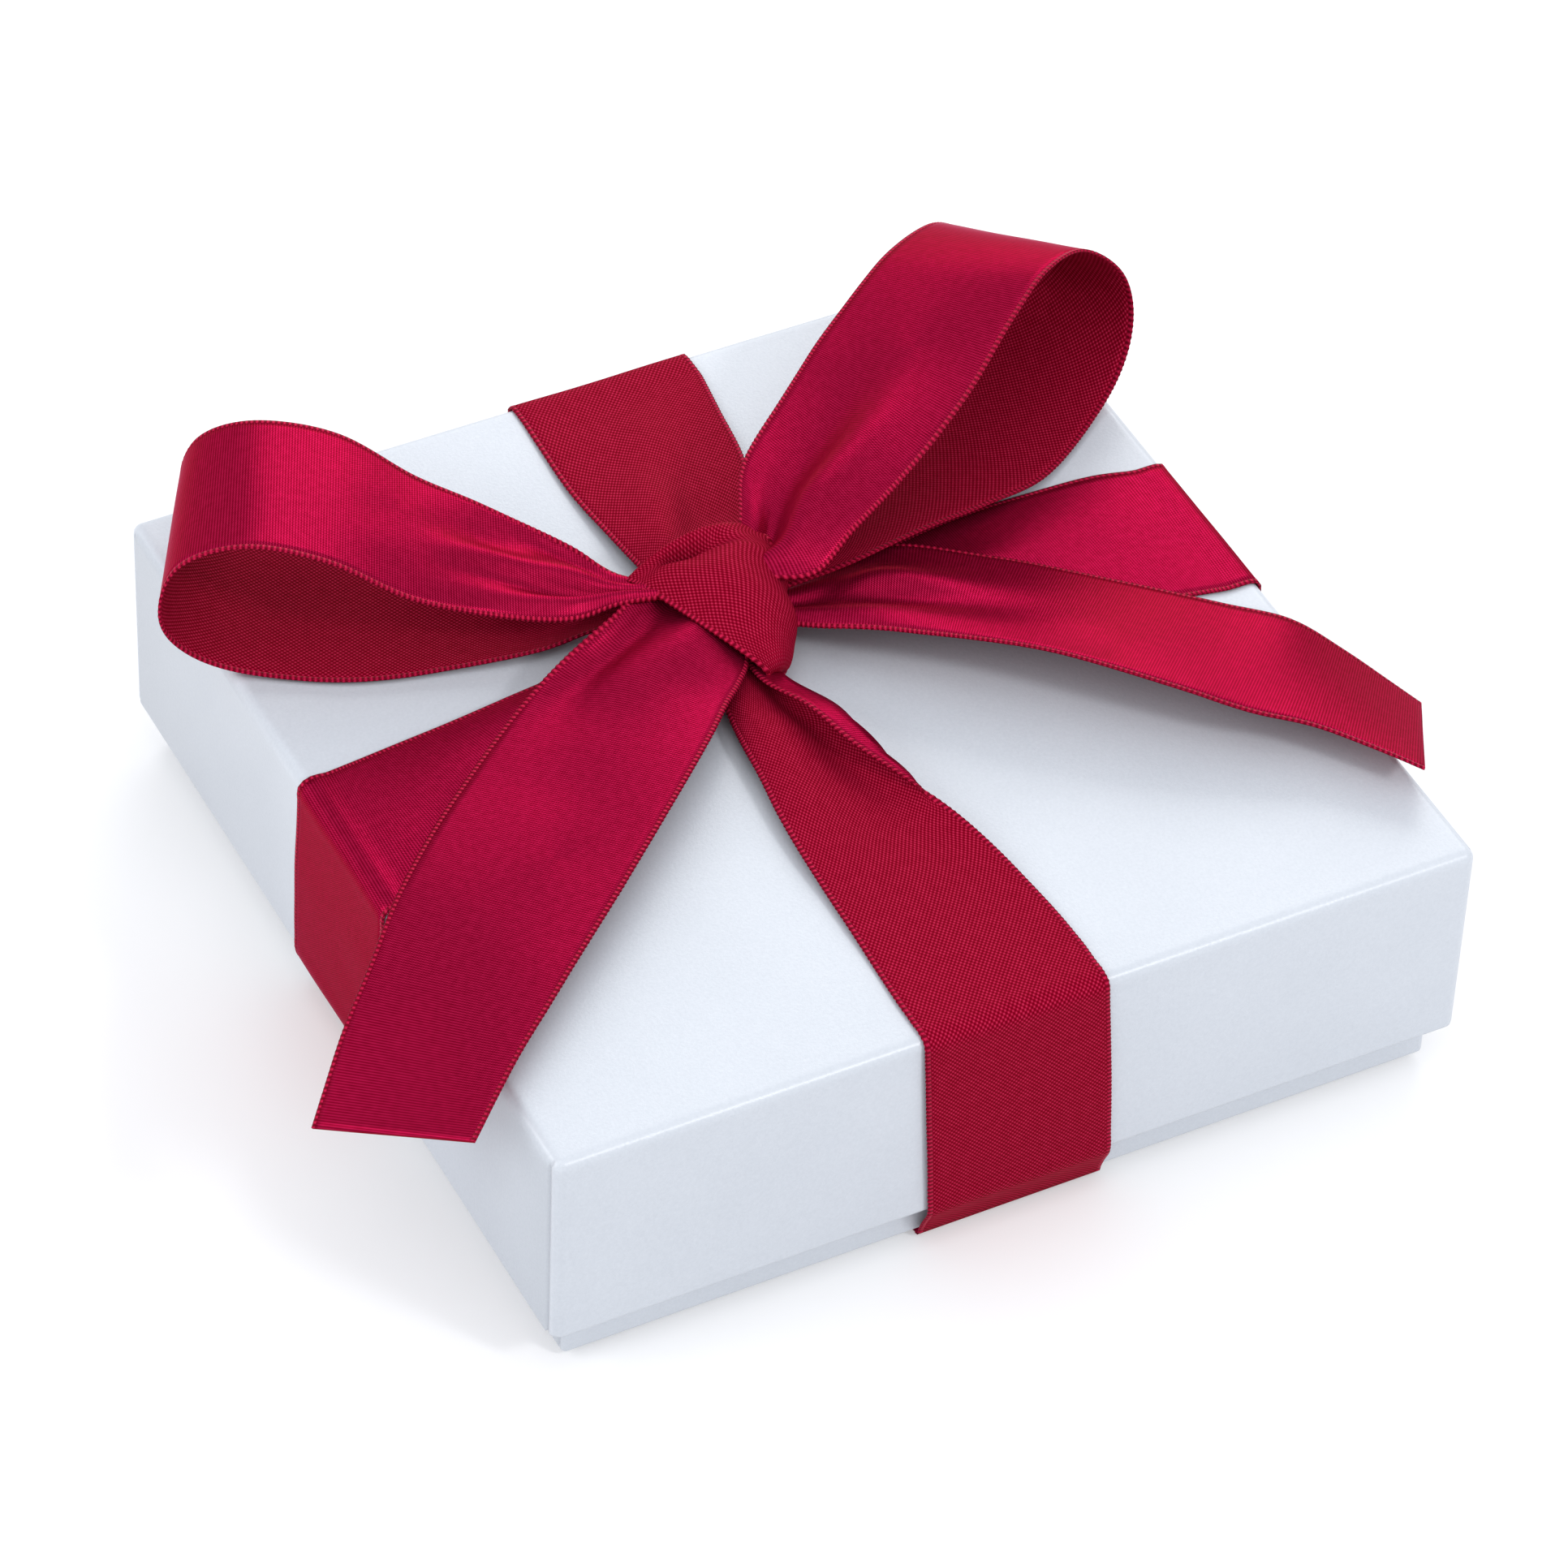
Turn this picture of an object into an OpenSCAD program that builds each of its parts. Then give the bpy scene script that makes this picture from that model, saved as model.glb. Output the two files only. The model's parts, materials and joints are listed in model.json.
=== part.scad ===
// Two-piece rigid gift box with a lift-off lid, tied both ways with one satin ribbon and a bow.
// Millimetres. The origin is the middle of the underside, +Z is up, -Y is the front.

/* [Lid] */
// Outer width of the square lid, over its paper
lid_w = 127; // [100:1:180]
// Outer height of the lid, from its rim to its top
lid_h = 30.3; // [22:0.1:60]
// Rounding of the paper-wrapped edges
edge_r = 1.2; // [0.8:0.1:2]

/* [Base] */
// Height of base that shows below the lid's rim
reveal = 6.3; // [3:0.1:12]
// Clearance per side between the inside of the lid and the outside of the base
fit_gap = 0.5; // [0.3:0.05:1]

/* [Board and paper] */
// Thickness of the grey board
board_t = 1.6; // [1.2:0.1:2.4]
// Thickness of the covering paper
paper_t = 0.25; // [0.15:0.01:0.35]
// Depth of the covering paper that is turned in over each rim
turn_in = 15; // [8:1:18]
// Width of the paper tape on each side of a corner
stay_w = 12; // [8:1:20]
// Thickness of the corner tape, pressed into the board
stay_t = 0.15; // [0.1:0.01:0.2]
// Margin left bare round each lining sheet
liner_margin = 0.4; // [0.2:0.1:3]

/* [Ribbon] */
// Width of the satin ribbon
ribbon_w = 25.4; // [18:0.1:30]
// Thickness of the satin ribbon
ribbon_t = 0.4; // [0.3:0.05:0.5]
// Clearance between the hanging bands and the walls that they pass
band_gap = 0.3; // [0.2:0.05:0.6]
// Sideways place of the front band
front_band_x = -0.5; // [-10:0.5:10]
// Sideways place of the back band
back_band_x = 3.5; // [-10:0.5:10]
// Sideways place of the left band
left_band_y = -2; // [-10:0.5:10]
// Sideways place of the right band
right_band_y = 4.5; // [-10:0.5:10]

/* [Bow] */
// Place of the knot, to the right of the box's middle
knot_x = -2.5; // [-8:0.5:8]
// Place of the knot, behind the box's middle
knot_y = 12; // [4:0.5:16]
// Height of the knot above its lowest point
knot_h = 11; // [10:0.5:12]
// Width of each band where it reaches the knot
gather_w = 8; // [6:0.5:9]

/* [Hidden] */
// Levels, counted up from the surface that the box stands on
base_z = 2 * ribbon_t;
rim_z = base_z + reveal;
top_z = rim_z + lid_h;
seat_z = top_z - 2 * paper_t - board_t;
base_h = seat_z - base_z;

// Half widths
lid_r = lid_w / 2;
base_inset = 2 * paper_t + board_t + fit_gap;
base_w = lid_w - 2 * base_inset;
base_r = base_w / 2;

// Ribbon details
lay_h = 0.6 * ribbon_t;
hop_run = 1.5;
end_gap = 0.5;
pivot_drop = 0.1;
knot_clear = 7;
tie_r = 5;
tie_h = 1.2;
tie_lift = 0.05;
strip_steps = 4;
skew_x = atan((right_band_y - left_band_y) / base_w);
skew_y = -atan((back_band_x - front_band_x) / base_w);
knot_at = [knot_x, knot_y, top_z];
round_fn = 48;
blob_fn = 24;

// Edges of the left loop, from the knot out along the top layer and back along the lower
// one: [x, y, height above the lid], counted from the knot
LEFT_LOOP_FRONT = [
    [-14.5, 4, 7], [-21.5, 3, 7.5], [-31, 6.5, 9], [-40.5, 9, 13.5], [-49.5, 14.5, 18.5],
    [-58.5, 19.5, 20.5], [-66, 23.5, 16.5], [-69, 23, 10], [-66.5, 21.5, 4.5],
    [-59.5, 17.5, 1.2], [-48, 11, 1], [-35.5, 7.5, 1], [-24.5, 5, 1.5], [-15.5, 4, 3]];
LEFT_LOOP_BACK = [
    [-11, 9.5, 6], [-15.5, 15.5, 8], [-23, 23, 11], [-30.5, 29.5, 14], [-38, 37, 18],
    [-47, 42, 19.5], [-53.5, 45, 17], [-56.5, 44.5, 12], [-54.5, 43.5, 5.5],
    [-48, 40, 1.5], [-37, 33.5, 1], [-26, 26, 1.2], [-16.5, 18, 2], [-11.5, 10, 3]];

// Edges of the right loop, told the same way
RIGHT_LOOP_FRONT = [
    [11.5, -3.5, 10], [16.5, -1.5, 12.5], [26.5, 3, 15], [38.5, 10, 18], [49, 17.5, 21.5],
    [56.5, 22.5, 23], [64, 26, 21.5], [70, 26, 16], [71.5, 24.5, 10], [69, 21.5, 4.5],
    [62.5, 16.5, 1.5], [50.5, 8.5, 1.5], [39.5, 5, 3], [28, 2.5, 4.5], [17, 0, 5.5]];
RIGHT_LOOP_BACK = [
    [6.5, 11.5, 10], [10.5, 18, 10.5], [20.5, 26.5, 11.5], [29, 33, 13], [38, 39, 14.5],
    [45, 43.5, 15], [53, 47.5, 13.5], [58, 49, 10], [60, 48, 6.5], [57.5, 44.5, 3],
    [51.5, 39.5, 1.5], [39.5, 31.5, 1.2], [29.5, 26, 1.5], [19, 18.5, 2], [13, 10, 4.5]];

// Edges of each tail's root, which stays with the knot, counted from the knot
FRONT_ROOT_LEFT = [[-10.5, 0.5, 6.5], [-17.5, 0, 5.8], [-25.5, -1.5, 4.7]];
FRONT_ROOT_RIGHT = [[-4, -11.5, 4.8], [-6.5, -14, 5], [-10.5, -18.5, 5.2]];
RIGHT_ROOT_FRONT = [[8, -9, 5], [13.5, -15.5, 8], [20, -21.5, 9.3], [25.5, -26, 9.8]];
RIGHT_ROOT_BACK = [[12, -3, 4], [22.5, 3, 3], [33, -1.5, 2.6], [40, -7.5, 2.3]];

// Edges of each tail's free end: x as a share of the way from the middle of the lid to its
// side, where 1 is the side itself, so that the end always hangs clear past the edge
FRONT_END_LEFT = [
    [0.52, 8, 4], [0.64, 3, 3], [0.82, -6, 2.6], [0.97, -15, 2],
    [1.08, -22.5, 0], [1.19, -29.5, -4], [1.31, -37.5, -9]];
FRONT_END_RIGHT = [
    [0.26, -9, 5.3], [0.36, -15.5, 5.5], [0.54, -25, 5], [0.7, -34, 4.3],
    [0.84, -41.5, 3.8], [0.97, -48.5, 2.8], [1.11, -56.5, 1.5]];
RIGHT_END_FRONT = [
    [0.42, -17, 10], [0.53, -24, 9.5], [0.63, -30, 8.5], [0.73, -36, 7],
    [0.85, -41.5, 6], [0.98, -52, 5]];
RIGHT_END_BACK = [
    [0.65, 1.5, 2.2], [0.78, -5.5, 2], [0.89, -11.5, 1.6], [0.99, -17, 1.2],
    [1.07, -23, -1.5], [1.16, -32.5, -5]];
// How far a tail's free end starts beyond its root
tail_split = 0.2;

pearl = [0.91, 0.93, 0.96];
lining = [0.96, 0.96, 0.95];
grey_board = [0.62, 0.6, 0.56];
tape = [0.8, 0.74, 0.6];
crimson = [0.62, 0.02, 0.12];
dull_crimson = [0.5, 0.02, 0.09];

// ---- helpers ----

// A square block with rounded corners and a rounded top edge, standing on z = 0
module soft_block(w, h, r) {
    flat = w - 2 * r;
    linear_extrude(h - r) {
        square([w, flat], center = true);
        square([flat, w], center = true);
        for (x = [-1, 1], y = [-1, 1])
            translate([x, y] * flat / 2) circle(r, $fn = round_fn);
    }
    translate([-flat / 2, -flat / 2, 0]) cube([flat, flat, h]);
    for (a = [0, 90, 180, 270])
        rotate([0, 0, a]) translate([flat / 2, 0, h - r]) {
            rotate([90, 0, 0]) cylinder(r = r, h = flat, center = true, $fn = round_fn);
            translate([0, flat / 2, 0]) sphere(r, $fn = round_fn);
        }
}

// The four corner zones that the tape covers
module corner_zones(w, h, side) {
    for (x = [-1, 1], y = [-1, 1])
        translate([x, y, 0] * (w - side) / 2) translate([0, 0, h / 2])
            cube([side, side, h], center = true);
}

// Covering paper: outside, over the rim and turned in
module tray_wrap(w, h) {
    hollow = w - 2 * (2 * paper_t + board_t);
    difference() {
        soft_block(w, h, edge_r);
        translate([0, 0, paper_t]) soft_block(w - 2 * paper_t, h - 2 * paper_t, edge_r - paper_t);
        translate([-hollow / 2, -hollow / 2, -1]) cube([hollow, hollow, paper_t + 2]);
    }
    difference() {
        turned_ring(hollow + 2 * paper_t, turn_in);
        translate([0, 0, -1]) turned_ring(hollow, turn_in + 2);
    }
}

module turned_ring(w, h) {
    translate([-w / 2, -w / 2, 0]) cube([w, w, h]);
}

// Board tray, open downwards, with the corner tape's place pressed into it
module tray_board(w, h) {
    outer = w - 2 * paper_t;
    hollow = outer - 2 * board_t;
    difference() {
        translate([0, 0, paper_t]) soft_block(outer, h - 2 * paper_t, edge_r - paper_t);
        translate([-hollow / 2, -hollow / 2, -1])
            cube([hollow, hollow, h - paper_t - board_t + 1]);
        tray_stays(w, h);
    }
}

// Paper tape round the four corners of the board
module tray_stays(w, h) {
    outer = w - 2 * paper_t;
    inner = outer - 2 * stay_t;
    foot = paper_t;
    head = h - edge_r - foot;
    translate([0, 0, foot]) intersection() {
        corner_zones(outer, head, stay_w);
        difference() {
            soft_block(outer, h, edge_r - paper_t);
            translate([0, 0, -1]) soft_block(inner, h + 2, edge_r - paper_t - stay_t);
        }
    }
}

// Lining sheet under the tray's closed side
module tray_liner(w, h) {
    size = w - 2 * (paper_t + board_t) - 2 * liner_margin;
    translate([-size / 2, -size / 2, h - 2 * paper_t - board_t]) cube([size, size, paper_t]);
}

// The base is the same tray, the other way up
module upturned(h) {
    translate([0, 0, base_z + h]) mirror([0, 0, 1]) children();
}

module on_lid() {
    translate([0, 0, rim_z]) children();
}

// Smooth curve through a list of points
function smooth_point(a, b, c, d, t) =
    0.5 * (2 * b + (c - a) * t + (2 * a - 5 * b + 4 * c - d) * t * t
        + (3 * b - a - 3 * c + d) * t * t * t);
function smooth_path(points) =
    let (last = len(points) - 1)
    concat([for (i = [0:last - 1], k = [0:strip_steps - 1])
        smooth_point(points[max(i - 1, 0)], points[i], points[i + 1],
            points[min(i + 2, last)], k / strip_steps)], [points[last]]);

// Direction straight out of a strip at station i
function unit(v) = v / norm(v);
function strip_normal(a, b, i) =
    let (last = len(a) - 1, i0 = max(i - 1, 0), i1 = min(i + 1, last),
        along = (a[i1] + b[i1]) - (a[i0] + b[i0]))
    unit(cross(along, b[i] - a[i]));

// A thin closed strip of ribbon between two smooth edges
module strip(edge_a, edge_b) {
    a = smooth_path(edge_a);
    b = smooth_path(edge_b);
    last = len(a) - 1;
    half = [for (i = [0:last]) strip_normal(a, b, i) * ribbon_t / 2];
    points = [for (i = [0:last]) each
        [a[i] - half[i], b[i] - half[i], b[i] + half[i], a[i] + half[i]]];
    sides = [for (i = [0:last - 1], k = [0:3])
        let (n = (k + 1) % 4, p = 4 * i) each
        [[p + k, p + 4 + k, p + n], [p + n, p + 4 + k, p + 4 + n]]];
    end = 4 * last;
    caps = [[0, 1, 2], [0, 2, 3], [end, end + 2, end + 1], [end, end + 3, end + 2]];
    polyhedron(points = points, faces = concat(sides, caps));
}

// Points counted from the knot, and points whose x is a share of the way to a side
function from_knot(points) = [for (p = points) p + knot_at];
function from_side(points, side) =
    [for (p = points) [side * p[0] * lid_r, p[1], top_z + p[2]]];

// Half a wave from 0 to 1
function ease(t) = t * t * (3 - 2 * t);
function between(a, b, t) = a + (b - a) * t;

// A top band, flat on the lid from its side at u = -lid_r to the knot, drawn from the
// front: place is its middle at the side, and target is the knot as [across, along]
module top_band(place, target) {
    stations = [0, 0.2, 0.4, 0.6, 0.8, 1];
    lift = top_z + lay_h;
    inner = target[1] - knot_clear;
    function edge(s) = [for (t = stations) [
        between(place + s * ribbon_w / 2, target[0] + s * gather_w / 2, ease(t)),
        between(-lid_r, inner, t), lift]];
    strip(edge(-1), edge(1));
}

// A side band, which hangs from the lid's edge and tucks in under the rim
module side_band(place) {
    top = top_z - pivot_drop;
    out = lid_r + band_gap;
    tuck = base_r + band_gap;
    foot = base_z + pivot_drop;
    translate([place + ribbon_w / 2, 0, 0]) rotate([90, 0, -90])
        linear_extrude(ribbon_w)
            polygon([
                [out, top], [out, rim_z - band_gap], [tuck, foot], [tuck + ribbon_t, foot],
                [out + ribbon_t, rim_z - band_gap], [out + ribbon_t, top]]);
}

// ---- base ----

module base_board() {
    color(grey_board) upturned(base_h) tray_board(base_w, base_h);
}

module base_wrap() {
    color(pearl) upturned(base_h) tray_wrap(base_w, base_h);
}

module base_liner() {
    color(lining) upturned(base_h) tray_liner(base_w, base_h);
}

module base_corner_stays() {
    color(tape) upturned(base_h) tray_stays(base_w, base_h);
}

module bottom_band_x() {
    length = 2 * (base_r - end_gap);
    color(crimson) translate([0, (left_band_y + right_band_y) / 2, 0])
        rotate([0, 0, skew_x]) translate([-length / 2, -ribbon_w / 2, 0])
            cube([length, ribbon_w, ribbon_t]);
}

// Runs the other way and hops over the first band where they cross
module bottom_band_y() {
    tip = base_r - end_gap;
    near = ribbon_w / 2 + (abs(left_band_y) + abs(right_band_y)) / 2 + hop_run;
    far = near + hop_run;
    t = ribbon_t;
    color(dull_crimson) translate([(front_band_x + back_band_x) / 2, 0, 0])
        rotate([0, 0, skew_y]) translate([ribbon_w / 2, 0, 0]) rotate([90, 0, -90])
            linear_extrude(ribbon_w)
                polygon([
                    [-tip, 0], [-far, 0], [-near, t], [near, t], [far, 0], [tip, 0],
                    [tip, t], [far, t], [near, 2 * t], [-near, 2 * t], [-far, t], [-tip, t]]);
}

// ---- lid ----

module lid_board() {
    color(grey_board) on_lid() tray_board(lid_w, lid_h);
}

module lid_wrap() {
    color(pearl) on_lid() tray_wrap(lid_w, lid_h);
}

module lid_liner() {
    color(lining) on_lid() tray_liner(lid_w, lid_h);
}

module lid_corner_stays() {
    color(tape) on_lid() tray_stays(lid_w, lid_h);
}

// ---- ribbon on top of the lid ----

module top_band_front() {
    color(dull_crimson) top_band(front_band_x, [knot_x, knot_y]);
}

module top_band_back() {
    color(dull_crimson) rotate([0, 0, 180]) top_band(-back_band_x, [-knot_x, -knot_y]);
}

module top_band_left() {
    color(crimson) rotate([0, 0, -90]) top_band(-left_band_y, [-knot_y, knot_x]);
}

module top_band_right() {
    color(crimson) rotate([0, 0, 90]) top_band(right_band_y, [knot_y, -knot_x]);
}

// The first tie, which holds the four bands together under the bow
module half_knot() {
    color(dull_crimson) translate(knot_at + [0, 0, tie_lift])
        cylinder(r = tie_r, h = tie_h, $fn = round_fn);
}

// The wrap of ribbon that holds the two loops and the two tails
module bow_knot() {
    low = 1.5;
    color(dull_crimson) translate(knot_at + [0, 0, low]) hull() {
        translate([-6, 5.5, knot_h / 2 - 0.5]) sphere(3, $fn = blob_fn);
        translate([1, -7.5, 3.2]) sphere(3, $fn = blob_fn);
        translate([3.5, 5.5, knot_h / 2]) sphere(4.5, $fn = blob_fn);
        translate([2.5, -2.5, knot_h / 2]) sphere(4.5, $fn = blob_fn);
        translate([-1.5, 2, knot_h - 4]) sphere(4, $fn = blob_fn);
    }
}

module front_tail_root() {
    color(crimson) strip(from_knot(FRONT_ROOT_LEFT), from_knot(FRONT_ROOT_RIGHT));
}

module right_tail_root() {
    color(crimson) strip(from_knot(RIGHT_ROOT_FRONT), from_knot(RIGHT_ROOT_BACK));
}

// ---- hanging bands ----

module side_band_front() {
    color(dull_crimson) side_band(front_band_x);
}

module side_band_back() {
    color(dull_crimson) rotate([0, 0, 180]) side_band(-back_band_x);
}

module side_band_left() {
    color(crimson) rotate([0, 0, -90]) side_band(-left_band_y);
}

module side_band_right() {
    color(crimson) rotate([0, 0, 90]) side_band(right_band_y);
}

// ---- loops and tails ----

module left_loop() {
    color(crimson) strip(from_knot(LEFT_LOOP_FRONT), from_knot(LEFT_LOOP_BACK));
}

module right_loop() {
    color(crimson) strip(from_knot(RIGHT_LOOP_FRONT), from_knot(RIGHT_LOOP_BACK));
}

// A tail's free end starts a hair beyond the last station of its root
function tail_start(root, end) =
    let (tip = root[len(root) - 1]) tip + unit(end[0] - tip) * tail_split;
function tail_edge(root, end) = concat([tail_start(root, end)], end);

module front_tail_end() {
    color(crimson) strip(
        tail_edge(from_knot(FRONT_ROOT_LEFT), from_side(FRONT_END_LEFT, -1)),
        tail_edge(from_knot(FRONT_ROOT_RIGHT), from_side(FRONT_END_RIGHT, -1)));
}

module right_tail_end() {
    color(crimson) strip(
        tail_edge(from_knot(RIGHT_ROOT_FRONT), from_side(RIGHT_END_FRONT, 1)),
        tail_edge(from_knot(RIGHT_ROOT_BACK), from_side(RIGHT_END_BACK, 1)));
}

base_board();
base_wrap();
base_liner();
base_corner_stays();
bottom_band_x();
bottom_band_y();
lid_board();
lid_wrap();
lid_liner();
lid_corner_stays();
top_band_front();
top_band_back();
top_band_left();
top_band_right();
half_knot();
bow_knot();
front_tail_root();
right_tail_root();
side_band_front();
side_band_back();
side_band_left();
side_band_right();
left_loop();
right_loop();
front_tail_end();
right_tail_end();
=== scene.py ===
"""Looks of a two-piece gift box tied with a satin ribbon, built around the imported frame.

Everything is in the row frame. Control points are in millimetres from the middle of the lid's
top, as (x to the right, y to the back, height above the lid), and turn into metres in one place.
"""
import json
import math

import bpy
import numpy as np
from mathutils import Matrix, Vector, noise


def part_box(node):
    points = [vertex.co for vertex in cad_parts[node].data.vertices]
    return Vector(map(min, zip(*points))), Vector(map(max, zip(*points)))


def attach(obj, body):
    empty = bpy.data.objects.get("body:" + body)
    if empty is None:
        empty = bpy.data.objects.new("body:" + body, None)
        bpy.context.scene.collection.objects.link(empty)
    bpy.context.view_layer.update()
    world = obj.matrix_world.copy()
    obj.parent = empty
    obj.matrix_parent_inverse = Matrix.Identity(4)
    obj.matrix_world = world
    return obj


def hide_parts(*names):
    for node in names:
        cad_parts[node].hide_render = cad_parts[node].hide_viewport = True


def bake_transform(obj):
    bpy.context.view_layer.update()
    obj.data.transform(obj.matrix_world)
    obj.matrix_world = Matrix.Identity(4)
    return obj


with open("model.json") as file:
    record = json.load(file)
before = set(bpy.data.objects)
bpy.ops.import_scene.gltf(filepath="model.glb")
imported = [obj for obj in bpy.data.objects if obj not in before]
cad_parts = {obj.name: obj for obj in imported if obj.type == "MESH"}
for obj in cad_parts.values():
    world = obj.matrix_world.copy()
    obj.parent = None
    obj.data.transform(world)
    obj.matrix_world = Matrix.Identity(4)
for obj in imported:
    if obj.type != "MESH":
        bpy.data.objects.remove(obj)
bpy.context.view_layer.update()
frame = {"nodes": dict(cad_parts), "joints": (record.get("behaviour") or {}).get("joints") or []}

# ---- the frame's own sizes ----

MM = 0.001
LID_LOW, LID_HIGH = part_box("lid_wrap")
BASE_LOW, BASE_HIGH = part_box("base_wrap")
LID_TOP = LID_HIGH.z
LID_HALF = LID_HIGH.x
BASE_HALF = BASE_HIGH.x
LID_R = LID_HALF / MM
RIM_H = (LID_LOW.z - LID_TOP) / MM
FOOT_H = (BASE_LOW.z - LID_TOP) / MM
LID_DEPTH = (LID_HIGH.z - LID_LOW.z) / MM
BASE_DEPTH = (BASE_HIGH.z - BASE_LOW.z) / MM
RIBBON_W = 25.4
RIBBON_T = 0.34
PAPER_T = 0.25
BOARD_T = 1.6
EDGE_R = 1.2
TURN_IN = 15
SEAM_STEP = 0.2
LID_SOFT = 1.4
BASE_SOFT = 0.7
RUFFLE_LENGTH = 9
RUFFLE_ACROSS = 2.2
EDGE_MARGIN = 1.5
FLOOR_HALF = 4.0
AIM = (0, 0, 0.03)


# ---- smooth curves and surfaces ----

def spline(points, steps):
    """A Catmull-Rom curve through points, which may be rows of a grid."""
    p = np.asarray(points, float)
    last = len(p) - 1
    out = []
    for i in range(last):
        a, b, c, d = p[max(i - 1, 0)], p[i], p[i + 1], p[min(i + 2, last)]
        for t in np.arange(steps) / steps:
            out.append(0.5 * (2 * b + (c - a) * t + (2 * a - 5 * b + 4 * c - d) * t ** 2
                              + (3 * b - a - 3 * c + d) * t ** 3))
    out.append(p[last])
    return np.array(out)


def lengths(line):
    """How far along a line each of its points is."""
    return np.concatenate([[0], np.cumsum(np.linalg.norm(np.diff(line, axis=0), axis=1))])


def even(line, where, at):
    """The points of a line, or the rows of a grid, at the given shares of its length."""
    flat = line.reshape(len(line), -1)
    cols = [np.interp(at * where[-1], where, flat[:, k]) for k in range(flat.shape[1])]
    return np.stack(cols, 1).reshape((len(at),) + line.shape[1:])


def across(points, cols):
    """A cross-section: evenly spaced points on a smooth curve through its own points."""
    line = spline(points, 8) if len(points) > 2 else np.asarray(points, float)
    return even(line, lengths(line), np.linspace(0, 1, cols))


def lifted(a, b, *lifts):
    """A cross-section from edge a to edge b, raised in between by lifts."""
    a, b = np.array(a, float), np.array(b, float)
    share = np.linspace(0, 1, len(lifts) + 2)
    rise = np.array([0, *lifts, 0], float)
    return [a + (b - a) * s + np.array([0, 0, r]) for s, r in zip(share, rise)]


def surface(stations, cols, spacing):
    """A grid of points, evenly spaced along the ribbon, and how far along each row is."""
    grid = spline([across(s, cols) for s in stations], 10)
    where = lengths(grid.mean(1))
    rows = max(int(where[-1] / spacing), 8)
    at = np.linspace(0, 1, rows + 1)
    return even(grid, where, at), at * where[-1]


def unit(v):
    """The vectors of an array, each with length 1."""
    return v / np.maximum(np.linalg.norm(v, axis=-1, keepdims=True), 1e-9)


def normals(grid):
    """The upward direction of a grid at each of its points."""
    along = np.gradient(grid, axis=0)
    over = np.gradient(grid, axis=1)
    return unit(np.cross(along, over))


def ruffle(grid, where, height, seed):
    """Small uneven waves in a ribbon that has been handled."""
    normal = normals(grid)
    cols = grid.shape[1]
    rise = np.array([[noise.noise(Vector((w / RUFFLE_LENGTH, RUFFLE_ACROSS * j / cols, seed)))
                      for j in range(cols)] for w in where])
    return grid + normal * (rise * height)[..., None]


def keep_above(grid, height):
    """Keeps what lies over the lid off its paper, short of its edges where the bands bend."""
    over_lid = np.all(np.abs(grid[..., :2]) < LID_R - EDGE_MARGIN, axis=-1)
    low = over_lid & (grid[..., 2] > -1) & (grid[..., 2] < height)
    grid[..., 2] = np.where(low, height, grid[..., 2])
    return grid


# ---- meshes ----

class Skin:
    """Collects vertices, faces, materials and map coordinates for one mesh."""

    def __init__(self):
        self.points, self.faces, self.slots, self.maps, self.flat = [], [], [], [], []
        self.count = 0

    def grid(self, points, coords, slot, flip=False, closed=False, flat=False):
        rows, cols = points.shape[:2]
        base = self.count
        self.points.append(points.reshape(-1, 3))
        self.count += rows * cols
        for i in range(rows - 1):
            for j in range(cols if closed else cols - 1):
                k = (j + 1) % cols
                quad = [base + i * cols + j, base + (i + 1) * cols + j,
                        base + (i + 1) * cols + k, base + i * cols + k]
                uv = [coords[i, j], coords[i + 1, j], coords[i + 1, j + 1], coords[i, j + 1]]
                self.face(quad[::-1] if flip else quad, uv[::-1] if flip else uv, slot, flat)
        return base

    def face(self, corners, uv, slot, flat=False):
        self.faces.append(corners)
        self.maps.extend(uv)
        self.slots.append(slot)
        self.flat.append(flat)

    def object(self, name, materials):
        mesh = bpy.data.meshes.new(name)
        points = np.concatenate(self.points) * MM + np.array([0, 0, LID_TOP])
        mesh.from_pydata(points.tolist(), [], self.faces)
        for m in materials:
            mesh.materials.append(m)
        mesh.polygons.foreach_set("material_index", self.slots)
        mesh.polygons.foreach_set("use_smooth", [not f for f in self.flat])
        layer = mesh.uv_layers.new(name="UVMap")
        layer.data.foreach_set("uv", np.array(self.maps, float).ravel())
        mesh.validate()
        mesh.update()
        made = bpy.data.objects.new(name, mesh)
        bpy.context.scene.collection.objects.link(made)
        return made


def coords_of(grid, where, width):
    """Map coordinates in millimetres: along the ribbon, and across it."""
    rows, cols = grid.shape[:2]
    v = np.linspace(0, width, cols)
    return np.stack(np.meshgrid(where, v, indexing="ij"), -1)


PICOT_PITCH = 0.7
PICOT_RINGS = 4
PICOT_SWELL = (0.84, 1.0, 1.0, 0.84)
PICOT_ACROSS = 0.46
PICOT_THICK = 0.24
PICOT_SIDES = 6
PICOT_INSET = 0.3


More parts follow.
